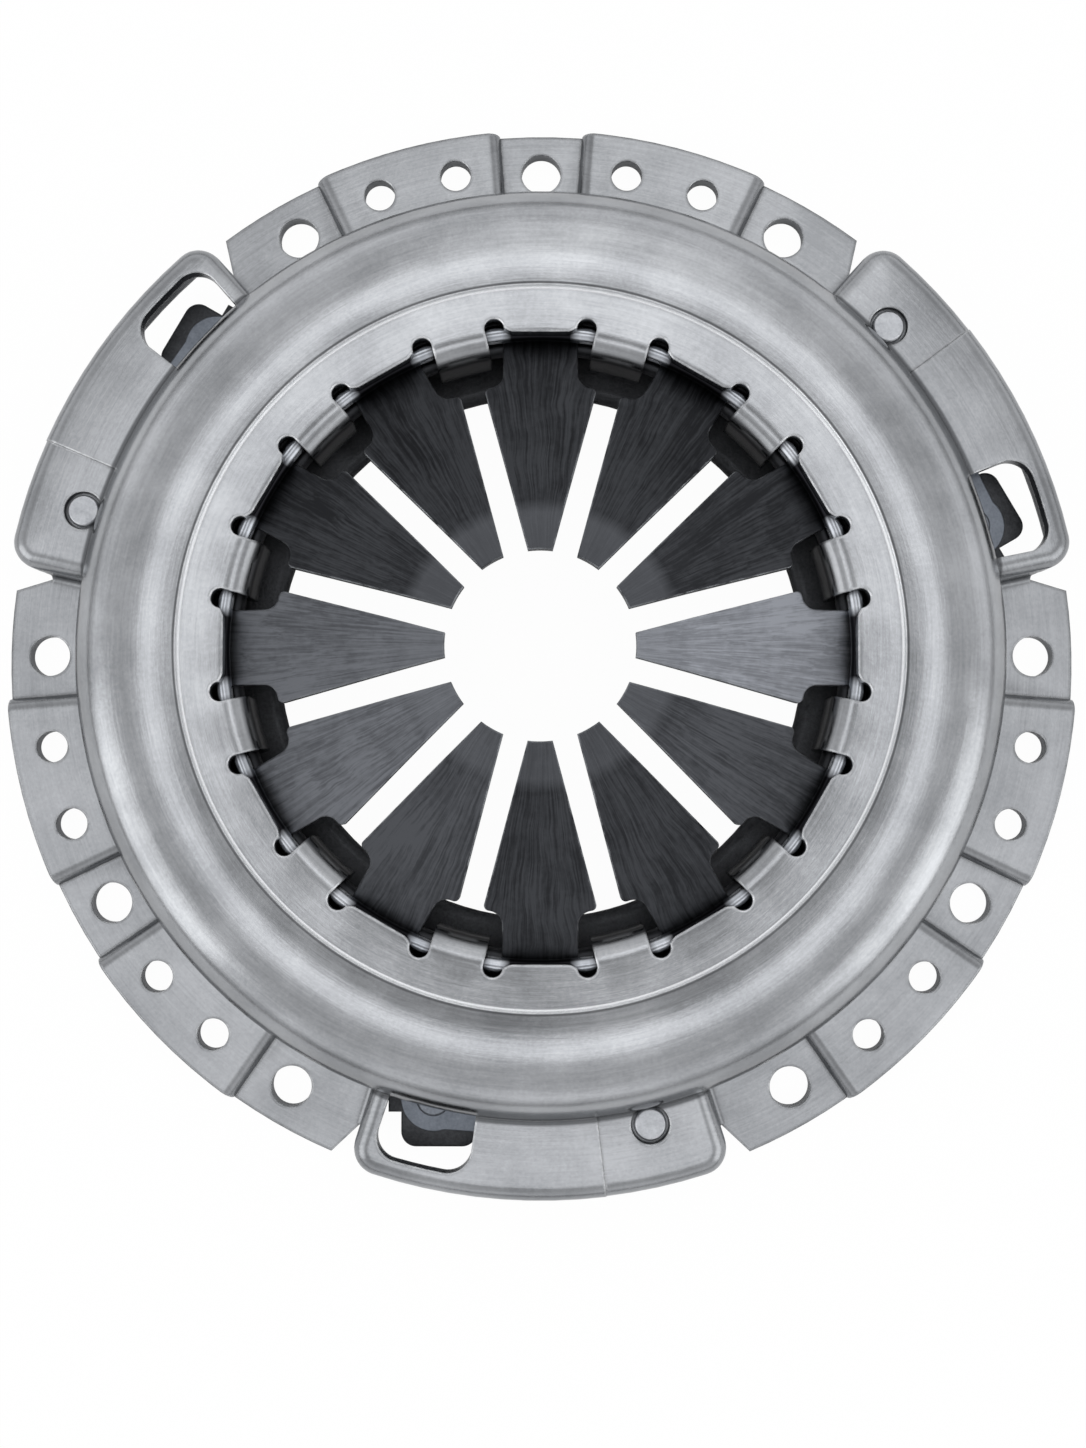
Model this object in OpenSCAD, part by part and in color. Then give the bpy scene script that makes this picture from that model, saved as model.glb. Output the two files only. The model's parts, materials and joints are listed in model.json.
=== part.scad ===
// Diaphragm-spring clutch cover assembly with bent-tab fulcrum.
// Z = 0 is the plane of the flywheel under the bolt pads, +Z points to the gearbox.

/* [Flange] */
// Diameter of the circle that all flange holes lie on
bolt_circle_d = 236; // [222:1:246]
// Diameter of the large holes for the cover bolts
bolt_hole_d = 9.6; // [8.4:0.1:10.6]
// Diameter of the small holes in the raised pads
small_hole_d = 7.4; // [5:0.1:9]
// Distance from the hole circle out to the flange's edge
flange_edge = 9.3; // [8:0.1:14]
// Height that the small-hole pads stand above the bolt pads
pad_raise = 3.2; // [1.5:0.1:5]
// Half angle of the middle bolt pad of each third
mid_pad_half = 4.5; // [3.8:0.1:6]
// Angle from the middle pad to the end of the raised pad
raised_pad_end = 25.3; // [24:0.1:26.5]
// Angle from the middle pad to the nearer small hole
small_hole_a1 = 10.1; // [9:0.1:12]
// Angle from the middle pad to the farther small hole
small_hole_a2 = 19.3; // [17:0.1:21]

/* [Cover shell] */
// Thickness of the stamped steel sheet
sheet_t = 3; // [2.4:0.1:3.4]
// Distance from the hole circle in to the outside of the dome wall
dome_in = 11.5; // [11:0.1:12.5]
// Radius of the rolled shoulder of the dome
shoulder_r = 14; // [11:0.5:17]
// Height that the dome crown stands above the flat lip
crown_raise = 1.5; // [0.8:0.1:2.4]
// Width of the dome from the step beside the lip to its wall
crown_w = 26.3; // [25:0.1:27]
// Distance from the fulcrum in to the flat lip edges
lip_in = 1; // [0.8:0.1:1.6]
// Width of one bent tab
tab_w = 12.2; // [9:0.1:13]
// Thickness of a bent tab, coined thinner than the sheet
tab_t = 2.5; // [2:0.1:3]
// Radius of the round end of a relief notch
notch_r = 2.2; // [1.6:0.1:2.4]
// Inside radius of the bend from wall to flange
foot_bend_r = 3; // [2:0.1:4]

/* [Pockets] */
// Distance from the hole circle out to the pockets' outside
pocket_out = 7; // [6:0.1:8]
// Height of the pocket top above the flywheel plane
pocket_h = 18.8; // [18.2:0.1:18.9]
// Half angle of a pocket to the outside of its end walls
pocket_half = 20.8; // [20:0.1:21.4]
// Outside radius of the two outer corners of a pocket, seen from above
pocket_corner_r = 6.2; // [5.5:0.1:7]
// Radius of the rolled edge of a pocket
pocket_roll_r = 4; // [3.6:0.1:5]
// Height of the free lower edge of a pocket skirt
skirt_z = 9; // [5:0.5:12]
// Drop of the riveted part of a pocket below the rest
rivet_pad_drop = 0.5; // [0.2:0.1:0.8]
// Angle where the riveted part of a pocket starts
rivet_pad_start = 6.8; // [5:0.1:8]
// Width of the rim between a pocket window and the pocket's outside
window_rim = 5.2; // [4.6:0.1:6]
// First side angle of a window, from the pocket middle
window_a1 = -18.6; // [-19:0.1:-17.5]
// Second side angle of a window, from the pocket middle
window_a2 = -7.8; // [-9:0.1:-6]
// Corner radius of a window
window_corner_r = 5.4; // [3:0.1:6]

/* [Diaphragm spring] */
// Thickness of the spring steel
spring_t = 2.3; // [1.8:0.1:2.6]
// Cone angle of the spring in the free state
spring_angle = 9.5; // [8:0.1:11]
// Distance from the step beside the lip in to the fulcrum
fulcrum_in = 9.2; // [8.5:0.1:10]
// Height of the middle of the spring at the fulcrum
fulcrum_z = 21.1; // [20.8:0.1:22.5]
// Distance that the spring's edge stays inside the friction ring's edge
spring_in = 3.2; // [2.5:0.1:4]
// Radius of the circle of finger tips
tip_r = 21.3; // [17:0.1:26]
// Radius where the flat tip of a finger starts
crease_r = 32.2; // [29:0.1:36]
// Width of the slots between the fingers
slot_w = 5.6; // [4:0.1:7]
// Width of a finger between two windows
neck_w = 17; // [14:0.1:18.5]
// Reach of the spring windows inside the fulcrum
window_reach_in = 12.2; // [11:0.1:14]
// Reach of the spring windows outside the fulcrum
window_reach_out = 7; // [5.5:0.1:8]

/* [Fulcrum rings] */
// Wire diameter of both fulcrum rings
wire_d = 4; // [3.4:0.1:4.2]

/* [Pressure plate] */
// Height of the friction face above the flywheel plane, free state
friction_z = 4; // [3.6:0.1:4.4]
// Distance that the friction ring reaches inside the fulcrum
plate_bore_in = 8.6; // [5:0.1:11]
// Gap between the friction ring and the inside of the dome wall
plate_gap = 3.3; // [2.5:0.1:4.5]
// Thickness of the ring under the spring
plate_t = 9; // [7.5:0.1:9.5]
// Thickness of the thin inner rim
rim_t = 3.8; // [3:0.1:4]
// Distance outside the fulcrum where the ring gets its full thickness
rim_out = 8.8; // [6:0.1:12]
// Distance of the ridge inside the spring's edge
ridge_in = 3; // [2:0.1:5]
// Half angle of one ridge segment
ridge_half = 5.5; // [4:0.1:6.5]
// Thickness of a lug
lug_t = 2.5; // [2:0.1:2.6]
// Reach of a lug beyond the outside of the dome wall
lug_out = 8.7; // [7:0.1:10]

/* [Straps and rivets] */
// Thickness of one strap leaf
leaf_t = 0.55; // [0.45:0.05:0.55]
// Width of a strap from the rivet line to its inner edge
leaf_in = 4.4; // [3.5:0.1:4.6]
// Width of a strap from the rivet line to its outer edge
leaf_out = 7; // [5:0.1:7.2]
// Radius of the eye at each end of a strap
eye_r = 7.6; // [6:0.1:7.8]
// Distance of the plate rivets outside the inner face of the dome wall
plate_rivet_out = 0.1; // [0.1:0.1:1.5]
// Distance of the cover rivets outside the dome wall
cover_rivet_out = 0.7; // [0.3:0.1:1.5]
// Half length of a strap between its rivets, as a share of the dome's radius
strap_share = 0.233; // [0.226:0.001:0.238]
// Diameter of the rivet shanks
shank_d = 5; // [4:0.1:6]
// Diameter of the plate rivet heads
head_d = 8; // [7:0.1:9]
// Height of the rivet heads
head_h = 1.2; // [1:0.1:1.2]
// Diameter of the flush heads of the cover rivets
flush_d = 7.4; // [6.4:0.1:8]

/* [Clearances] */
// Gap between the spring and each fulcrum ring, and the ridge
spring_gap = 0.2; // [0.1:0.05:0.3]
// Gap between pieces that are pressed together
seat_gap = 0.05; // [0.02:0.01:0.1]
// Gap between two neighbouring sectors of the spring ring
slit_w = 0.3; // [0.2:0.05:0.5]
// Radial gap round a rivet shank
shank_gap = 0.1; // [0.05:0.05:0.2]

/* [Hidden] */
$fn = 64;
eps = 0.01;

third_angles = [90, 210, 330];
pocket_angles = [30, 150, 270];
hole_circle_r = bolt_circle_d / 2;
// derived places are kept to whole microns, so that arcs meet exactly
function um(x) = round(x * 1000) / 1000;

// radii, all from the circle of the bolts inward and outward
flange_r = um(hole_circle_r + flange_edge);
dome_r = um(hole_circle_r - dome_in);
pocket_r = um(hole_circle_r + pocket_out);
window_r = um(pocket_r - window_rim);
wall_in_r = um(dome_r - sheet_t);
step_r = um(dome_r - crown_w);
fulcrum_r = um(step_r - fulcrum_in);
lip_r = um(fulcrum_r - lip_in);
hole_r1 = um(fulcrum_r - window_reach_in);
hole_r2 = um(fulcrum_r + window_reach_out);
plate_r = um(wall_in_r - plate_gap);
plate_bore_r = um(fulcrum_r - plate_bore_in);
rim_r = um(fulcrum_r + rim_out);
spring_r = um(plate_r - spring_in);
ridge_r = um(spring_r - ridge_in);
lug_x = um(dome_r + lug_out);
strap_x1 = um(wall_in_r + plate_rivet_out);
strap_x2 = um(dome_r + cover_rivet_out);
strap_y = round(10 * strap_share * dome_r) / 10;
foot_r = dome_r + foot_bend_r;
wall_low = pad_raise + sheet_t + foot_bend_r;
rim_high = wall_low + 2;

// fulcrum: the wires lie square to the cone, above and below the spring
wire_r = wire_d / 2;
wire_off = spring_t / 2 + spring_gap + wire_r;
wire_dr = um(wire_off * sin(spring_angle));
wire_dz = um(wire_off * cos(spring_angle));
upper_r = fulcrum_r + wire_dr;
upper_z = fulcrum_z + wire_dz;
lower_r = fulcrum_r - wire_dr;
lower_z = fulcrum_z - wire_dz;
lip_z = upper_z + wire_r + seat_gap;
lip_top = lip_z + sheet_t;

// dome: a broad crown arc that runs into the shoulder arc, their centres 7 and 24 apart
crown_r = shoulder_r + 25;
crown_top = lip_top + crown_raise;
shoulder_x = dome_r - shoulder_r;
crown_x = shoulder_x - 7;
crown_z = crown_top - crown_r;
shoulder_z = crown_z + 24;

// tabs: they hug the lower wire and rise to the lip
tab_seat_r = wire_r + seat_gap;
tab_face_r = lower_r - tab_seat_r;
tab_in_r = tab_face_r - tab_t;
tab_bend_r = tab_t + 2.7;

// pockets
corner_a = um(asin(pocket_corner_r / (dome_r + 8)));
corner_in_r = pocket_r - pocket_corner_r;
window_in_r = wall_in_r - 2;
window_mid_r = window_r - window_corner_r;
window_corner_a = asin(window_corner_r / window_mid_r);

// plate, straps and rivets
rim_top = friction_z + rim_t;
plate_top = friction_z + plate_t;
lug_z = friction_z + 0.4;
lug_top = lug_z + lug_t;
pack_t = 3 * leaf_t + 2 * seat_gap;
strap_z1 = lug_top + seat_gap;
strap_z2 = pocket_h - rivet_pad_drop - sheet_t - seat_gap - pack_t;
strap_len = sqrt(pow(2 * strap_y, 2) + pow(strap_x2 - strap_x1, 2));
strap_turn = atan2(strap_x1 - strap_x2, 2 * strap_y);
flush_depth = 1.4;

function spring_z(r) = fulcrum_z + (fulcrum_r - r) * tan(spring_angle);
ridge_top = spring_z(ridge_r) - spring_t / 2 / cos(spring_angle) - spring_gap;

// a flat wedge from the axis between two angles
module wedge(a1, a2, r = 200) {
  polygon([[0, 0], [r * cos(a1), r * sin(a1)],
    [1.1 * r * cos((a1 + a2) / 2), 1.1 * r * sin((a1 + a2) / 2)],
    [r * cos(a2), r * sin(a2)]]);
}

// revolves a profile between two angles
module sweep(a1, a2) {
  rotate([0, 0, a1])
    rotate_extrude(angle = a2 - a1)
      children();
}

// everything under the top of the dome, moved in by one sheet for the inside
module dome_area(inset) {
  low = shoulder_z - 30;
  tx = shoulder_x + 0.28 * (shoulder_r + 3);
  tz = shoulder_z + 0.96 * (shoulder_r + 3);
  intersection() {
    translate([crown_x, crown_z]) circle(r = crown_r - inset);
    polygon([[step_r, low], [step_r, crown_top + 1], [tx, tz], [shoulder_x, shoulder_z],
      [shoulder_x, low]]);
  }
  intersection() {
    translate([shoulder_x, shoulder_z]) circle(r = shoulder_r - inset);
    polygon([[shoulder_x, shoulder_z], [tx, tz], [dome_r + 2, tz], [dome_r + 2, shoulder_z]]);
  }
}

// dome from the lip to the foot of its wall
module dome_profile() {
  difference() {
    union() {
      dome_area(0);
      translate([shoulder_x, wall_low]) square([shoulder_r, shoulder_z - wall_low]);
    }
    dome_area(sheet_t);
    translate([shoulder_x - 1, wall_low - 1])
      square([shoulder_r - sheet_t + 1, shoulder_z - wall_low + 1]);
    translate([step_r - 1, shoulder_z - 40]) square([shoulder_x - step_r + 2, 42]);
  }
}

// wall, foot bend and flange sheet at one height
module rim_profile(z) {
  bend_z = z + sheet_t + foot_bend_r;
  out_r = foot_bend_r + sheet_t;
  difference() {
    union() {
      translate([wall_in_r, z]) square([sheet_t, rim_high - z]);
      translate([wall_in_r, z]) square([foot_r - wall_in_r, out_r]);
      translate([wall_in_r, z]) square([flange_r - wall_in_r, sheet_t]);
    }
    translate([foot_r, bend_z]) circle(r = foot_bend_r);
    difference() {
      translate([wall_in_r - 1, z - 1]) square([foot_r - wall_in_r + 1, out_r + 1]);
      translate([foot_r, bend_z]) circle(r = out_r);
    }
  }
}

// the step from a bolt pad up to a raised pad, seen along the radius
module pad_step_profile() {
  reach = pad_raise + sheet_t + 0.5;
  intersection() {
    difference() {
      union() {
        translate([pad_raise, sheet_t]) circle(r = pad_raise);
        translate([pad_raise, 0]) square([reach, sheet_t + pad_raise]);
        translate([-1, 0]) square([1 + pad_raise, sheet_t]);
      }
      translate([pad_raise + 2.5, 0]) circle(r = pad_raise);
      translate([pad_raise + 2.5, -1]) square([20, pad_raise + 1]);
    }
    translate([-1, 0]) square([1 + reach, sheet_t + pad_raise]);
  }
}

module pad_step(angle, side) {
  rotate([0, 0, angle])
    mirror([0, side < 0 ? 1 : 0, 0])
      translate([dome_r - 1, 0, 0])
        rotate([90, 0, 90])
          linear_extrude(flange_r - dome_r + 3)
            pad_step_profile();
}

// area below a flat top with a rolled edge, its face at x = face
module roll_area(x0, face, z, r, low) {
  difference() {
    translate([x0, low]) square([face - x0, z - low]);
    difference() {
      translate([face - r, z - r]) square([r + 1, r + 1]);
      translate([face - r, z - r]) circle(r = r);
    }
  }
}

// section of a pocket's top, rolled edge and wall
module pocket_profile(x0, face, z, low) {
  difference() {
    roll_area(x0, face, z, pocket_roll_r, low);
    roll_area(x0 - 1, face - sheet_t, z - sheet_t, pocket_roll_r - sheet_t, low - 1);
  }
}

// section of the corner, which starts on the corner's own axis
module corner_profile(z) {
  difference() {
    roll_area(0, pocket_corner_r, z, pocket_roll_r, skirt_z);
    roll_area(0, pocket_corner_r - sheet_t, z - sheet_t, pocket_roll_r - sheet_t, skirt_z - 1);
  }
}

// the part of a pocket from the given angle to one end wall
module half_pocket(start, z) {
  wall_len = corner_in_r - wall_in_r - 1.2;
  rotate([0, 0, pocket_half - corner_a]) {
    mirror([0, 1, 0])
      rotate_extrude(angle = pocket_half - corner_a - start)
        pocket_profile(wall_in_r + 0.5, pocket_r, z, skirt_z);
    translate([corner_in_r, 0, 0]) {
      rotate_extrude(angle = 90) corner_profile(z);
      // end wall with its foot on the bolt pad
      mirror([1, 0, 0])
        rotate([90, 0, 90])
          linear_extrude(wall_len) {
            pocket_profile(-pocket_corner_r, pocket_corner_r, z, 0);
            translate([pocket_corner_r, 0])
              difference() {
                translate([-1, 0]) square([3, sheet_t + 2]);
                translate([2, sheet_t + 2]) circle(r = 2);
              }
          }
    }
  }
}

module pocket(angle) {
  rotate([0, 0, angle])
    difference() {
      union() {
        half_pocket(rivet_pad_start, pocket_h - rivet_pad_drop);
        mirror([0, 1, 0]) half_pocket(-rivet_pad_start - 0.1, pocket_h);
      }
      translate([0, 0, skirt_z + 1]) linear_extrude(pocket_h) window_plan();
      translate([strap_x2, strap_y, 0]) {
        cylinder(d = shank_d + 2 * shank_gap, h = pocket_h + 1);
        translate([0, 0, pocket_h - rivet_pad_drop - flush_depth])
          cylinder(d = flush_d + 1.4, h = flush_depth + 1);
      }
    }
}

// plan of one window, with round outer corners
module window_plan() {
  difference() {
    intersection() {
      circle(r = window_r);
      wedge(window_a1, window_a2);
    }
    circle(r = window_in_r);
    for (s = [-1, 1])
      rotate((window_a1 + window_a2) / 2)
        mirror([0, s < 0 ? 1 : 0])
          rotate((window_a2 - window_a1) / 2 - window_corner_a)
            translate([window_mid_r, 0])
              difference() {
                square([window_corner_r + 2, window_corner_r + 2]);
                circle(r = window_corner_r);
              }
  }
}

// plan of the opening between two tabs, with its two relief notches
module gap_plan() {
  n = lip_r + 0.9;
  y = tab_w / 2;
  for (s = [0, 1])
    mirror([0, s])
      rotate(15)
        translate([0, -y - notch_r]) {
          translate([n, 0]) circle(r = notch_r);
          translate([40, -notch_r]) square([n - 40, 2 * notch_r]);
        }
  translate([40, -8.2]) square([lip_r - 40, 16.4]);
  // round corners of the lip edge
  for (s = [0, 1])
    mirror([0, s])
      difference() {
        translate([lip_r - 1, 5.5]) square([2.6, 3.5]);
        translate([lip_r + 4.5, 5.3]) circle(r = 4.6);
      }
}

// plan of the space between two tabs below the lip
module under_lip_plan() {
  x = 45;
  polygon([[x, -x * tan(15) + tab_w / 2 / cos(15)], [x, x * tan(15) - tab_w / 2 / cos(15)],
    [78, 78 * tan(15) - tab_w / 2 / cos(15)], [78, -78 * tan(15) + tab_w / 2 / cos(15)]]);
}

// section of lip and tab: round the upper wire, down, and out under the lower wire
module tab_profile() {
  low = lower_z - tab_seat_r - tab_t;
  bend_z = lip_top - tab_bend_r;
  in_r = tab_bend_r - sheet_t;
  difference() {
    translate([tab_in_r, low]) square([step_r + 2.5 - tab_in_r, lip_top - low]);
    // space round the upper wire
    difference() {
      translate([tab_face_r, lower_z]) square([30, lip_z - lower_z]);
      difference() {
        translate([tab_face_r - 1, lip_z - in_r]) square([in_r + 1, in_r + 1]);
        translate([tab_face_r + in_r, lip_z - in_r]) circle(r = in_r);
      }
    }
    // seat of the lower wire, and the end of the tail
    translate([lower_r, lower_z]) circle(r = tab_seat_r);
    translate([lower_r, lower_z - tab_seat_r]) square([30, tab_seat_r + 1]);
    translate([lower_r + 3, low - 1]) square([30, tab_seat_r + tab_t + 1.5]);
    // round outsides of both bends
    difference() {
      translate([tab_in_r - 1, bend_z]) square([tab_bend_r + 1, tab_bend_r + 1]);
      translate([tab_in_r + tab_bend_r, bend_z]) circle(r = tab_bend_r);
    }
    difference() {
      translate([tab_in_r - 1, low - 1]) square([lower_r - tab_in_r + 1, lower_z - low + 1]);
      translate([lower_r, lower_z]) circle(r = tab_seat_r + tab_t);
    }
  }
}

// wedges of the flange, given as angles from the middle of each third
module spans(list) {
  for (a = third_angles, p = list)
    wedge(a + p[0], a + p[1]);
}

// bolt pads, with the bolt holes and the pointed corners beside the pockets
module low_flange() {
  difference() {
    intersection() {
      rotate_extrude() rim_profile(0);
      linear_extrude(30)
        spans([[-mid_pad_half, mid_pad_half], [raised_pad_end, 60.3 - pocket_half],
          [pocket_half - 60.3, -raised_pad_end]]);
    }
    for (a = third_angles, b = [-30, 0, 30])
      rotate([0, 0, a + b])
        translate([hole_circle_r, 0, -1])
          cylinder(d = bolt_hole_d, h = sheet_t + 2);
    for (a = pocket_angles, s = [0, 1])
      rotate([0, 0, a])
        mirror([0, s, 0])
          rotate([0, 0, pocket_half])
            translate([0, 0, -1])
              linear_extrude(sheet_t + 3)
                polygon([[corner_in_r, 0.4], [flange_r + 2, 5.6],
                  [flange_r + 4, -12], [corner_in_r, -8]]);
  }
}

// raised pads with the small holes
module high_flange() {
  difference() {
    intersection() {
      rotate_extrude() rim_profile(pad_raise);
      linear_extrude(30)
        spans([[mid_pad_half + 1.6, raised_pad_end - 1.6],
          [1.6 - raised_pad_end, -mid_pad_half - 1.6]]);
    }
    for (a = third_angles, b = [small_hole_a1, small_hole_a2], s = [-1, 1])
      rotate([0, 0, a + s * b])
        translate([hole_circle_r, 0, pad_raise - 1])
          cylinder(d = small_hole_d, h = sheet_t + 2);
  }
}

// Z-bends between the pads, and the wall behind them
module pad_steps() {
  intersection() {
    for (a = third_angles, s = [-1, 1]) {
      pad_step(a + s * mid_pad_half, s);
      pad_step(a + s * raised_pad_end, -s);
    }
    cylinder(r = flange_r, h = 30);
  }
  intersection() {
    translate([0, 0, pad_raise + 1])
      rotate_extrude()
        translate([wall_in_r, 0]) square([sheet_t, rim_high - pad_raise - 1]);
    linear_extrude(30)
      spans([[mid_pad_half - 0.3, mid_pad_half + 1.9],
        [raised_pad_end - 1.9, raised_pad_end + 0.3],
        [-mid_pad_half - 1.9, 0.3 - mid_pad_half],
        [-raised_pad_end - 0.3, 1.9 - raised_pad_end]]);
  }
}

// dome, lip and tab section in one revolve, with its wall cut short below the pockets
module dome() {
  difference() {
    rotate_extrude() {
      dome_profile();
      tab_profile();
    }
    linear_extrude(pocket_h - rivet_pad_drop - sheet_t)
      difference() {
        for (a = pocket_angles) wedge(a - pocket_half + 1, a + pocket_half - 1);
        circle(r = dome_r - 12);
      }
  }
}

module cover() {
  color("silver")
    difference() {
      union() {
        dome();
        low_flange();
        high_flange();
        pad_steps();
        for (a = pocket_angles) pocket(a);
      }
      // the tabs are what is left between these cuts
      for (k = [0 : 11])
        rotate([0, 0, 30 * k]) {
          translate([0, 0, -1]) linear_extrude(60) gap_plan();
          translate([0, 0, -1]) linear_extrude(lip_z + 1) under_lip_plan();
        }
    }
}

module wire_ring(r, z) {
  color("dimgray")
    rotate_extrude()
      translate([r, z]) circle(r = wire_r, $fn = 32);
}

module fulcrum_ring_upper() {
  wire_ring(upper_r, upper_z);
}

module fulcrum_ring_lower() {
  wire_ring(lower_r, lower_z);
}

// section of the spring: the cone, and the flatter tip inside the crease
module spring_profile() {
  h = spring_t / 2;
  nx = sin(spring_angle) * h;
  nz = cos(spring_angle) * h;
  zc = spring_z(crease_r);
  zs = spring_z(spring_r);
  tip_z = zc + (crease_r - tip_r) * 0.035;
  polygon([[tip_r, tip_z - h], [crease_r - 2, zc - h - 0.07],
    [crease_r + 2, spring_z(crease_r + 2) - nz - 0.16],
    [spring_r - nx, zs - nz], [spring_r + nx, zs + nz],
    [crease_r + 2, spring_z(crease_r + 2) + nz + 0.16],
    [crease_r - 2, zc + h - 0.07], [tip_r, tip_z + h]]);
}

// slot beside one half of a finger
module slot_plan() {
  edge = slot_w / 2 / cos(15);
  polygon([[tip_r - 5, (tip_r - 5) * tan(15) - edge],
    [hole_r1 + 0.5, (hole_r1 + 0.5) * tan(15) - edge],
    [hole_r1 + 0.5, 40], [tip_r - 5, 40]]);
}

// what is cut away to round the shoulder of the blade
module shoulder_plan() {
  c = 1.2;
  cx = hole_r1 - c;
  cy = cx * tan(15) - slot_w / 2 / cos(15) - c / cos(15);
  difference() {
    polygon([[cx, cy], [cx - 2 * c * sin(15), cy + 2 * c * cos(15)],
      [hole_r1 + 2, cy + 4 * c], [hole_r1 + 2, cy]]);
    translate([cx, cy]) circle(r = c);
  }
}

// window beside the neck of a finger, with a round corner at each end
module spring_window_plan() {
  f = 3.2;
  y0 = neck_w / 2;
  difference() {
    translate([hole_r1, y0]) square([hole_r2 - hole_r1, 40]);
    difference() {
      translate([hole_r1 - 1, y0 - 1]) square([f + 1, f + 1]);
      translate([hole_r1 + f, y0 + f]) circle(r = f);
    }
    difference() {
      translate([hole_r2 - f, y0 - 1]) square([f + 1, f + 1]);
      translate([hole_r2 - f, y0 + f]) circle(r = f);
    }
  }
}

module finger(n) {
  half = 15 - asin(slit_w / 2 / spring_r);
  color([0.25, 0.26, 0.28])
    rotate([0, 0, 30 * (n - 1)])
      difference() {
        sweep(-half, half) spring_profile();
        for (s = [0, 1])
          mirror([0, s, 0]) {
            linear_extrude(60) slot_plan();
            linear_extrude(60) shoulder_plan();
            linear_extrude(60) spring_window_plan();
          }
      }
}

// section of the friction ring with its rounded thin rim
module plate_profile() {
  r = 2.4;
  difference() {
    union() {
      translate([plate_bore_r, friction_z]) square([plate_r - plate_bore_r, rim_t]);
      translate([rim_r, friction_z]) square([plate_r - rim_r, plate_t]);
      difference() {
        translate([rim_r - 1.5, rim_top - eps]) square([1.5 + eps, 1.5]);
        translate([rim_r - 1.5, rim_top + 1.5]) circle(r = 1.5);
      }
    }
    difference() {
      translate([plate_bore_r - 1, rim_top - r]) square([r + 1, r + 1]);
      translate([plate_bore_r + r, rim_top - r]) circle(r = r);
    }
    polygon([[plate_r - 1.2, plate_top + 1], [plate_r - 1.2, plate_top],
      [plate_r, plate_top - 1.2], [plate_r + 1, plate_top - 1.2],
      [plate_r + 1, plate_top + 1]]);
    polygon([[plate_r - 0.6, friction_z], [plate_r, friction_z + 0.6],
      [plate_r + 1, friction_z + 0.6], [plate_r + 1, friction_z - 1],
      [plate_r - 0.6, friction_z - 1]]);
  }
}

module ridge_profile() {
  translate([ridge_r - 2, plate_top - 1]) square([4, ridge_top - 2 - plate_top + 1 + eps]);
  translate([ridge_r, ridge_top - 2]) circle(r = 2, $fn = 32);
}

// plan of a lug that carries the strap's first rivet
module lug_plan() {
  c = 3.5;
  y1 = -strap_y - 10.7;
  y2 = -strap_y + 10;
  translate([plate_r - 6, y1 + 3]) square([lug_x - c - plate_r + 6, y2 - y1 - 3]);
  // its outer corner starts clear of the pocket's end wall
  translate([plate_r + 3, y1]) square([lug_x - 11 - plate_r, 5]);
  translate([lug_x - 8 - eps, y1 + 3 + c]) square([8 + eps, y2 - y1 - 3 - 2 * c]);
  translate([lug_x - c, y1 + 3 + c]) circle(r = c, $fn = 32);
  translate([lug_x - c, y2 - c]) circle(r = c, $fn = 32);
}

module pressure_plate() {
  color([0.35, 0.37, 0.4])
    difference() {
      union() {
        rotate_extrude() plate_profile();
        for (k = [0 : 11])
          rotate([0, 0, 30 * k]) sweep(-ridge_half, ridge_half) ridge_profile();
        for (a = pocket_angles)
          rotate([0, 0, a])
            translate([0, 0, lug_z]) linear_extrude(lug_t) lug_plan();
      }
      for (a = pocket_angles)
        rotate([0, 0, a])
          translate([strap_x1, -strap_y, 0]) {
            cylinder(d = shank_d + 2 * shank_gap, h = lug_top + 1);
            cylinder(d = head_d + 1, h = lug_z + 1.6);
            // seat that keeps the plate clear of the strap's eye
            translate([0, 0, lug_top]) cylinder(r = eye_r + 0.5, h = plate_t);
          }
    }
}

// section along a strap: flat eyes and a smooth S between them
module leaf_profile(k) {
  u1 = 8.5;
  u2 = strap_len - 8.5;
  rise = strap_z2 - strap_z1;
  z0 = strap_z1 + k * (leaf_t + seat_gap);
  low = [for (i = [0 : 12]) let (q = i / 12)
    [u1 + (u2 - u1) * q, z0 + rise * q * q * (3 - 2 * q)]];
  top = [for (i = [12 : -1 : 0]) let (q = i / 12)
    [u1 + (u2 - u1) * q, z0 + leaf_t + rise * q * q * (3 - 2 * q)]];
  polygon(concat([[-eye_r - 1, z0]], low, [[strap_len + eye_r + 1, z0 + rise]],
    [[strap_len + eye_r + 1, z0 + rise + leaf_t]], top, [[-eye_r - 1, z0 + leaf_t]]));
}

// the line along the strap runs from its plate rivet to its cover rivet
module leaf(angle, k) {
  color([0.3, 0.33, 0.38])
    rotate([0, 0, angle])
      translate([strap_x1, -strap_y, 0])
        rotate([0, 0, 90 + strap_turn])
          difference() {
            intersection() {
              translate([0, 10, 0])
                rotate([90, 0, 0]) linear_extrude(20) leaf_profile(k);
              linear_extrude(40) {
                translate([0, -leaf_out]) square([strap_len, leaf_out + leaf_in]);
                circle(r = eye_r);
                translate([strap_len, 0]) circle(r = eye_r);
              }
            }
            for (u = [0, strap_len])
              translate([u, 0, 0]) cylinder(d = shank_d + 2 * shank_gap, h = 40);
          }
}

// a flat head with a small rounded edge
module head(d, h) {
  cylinder(d = d, h = h - 0.5);
  translate([0, 0, h - 0.5 - eps]) cylinder(d1 = d, d2 = d - 1, h = 0.5 + eps);
}

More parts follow.
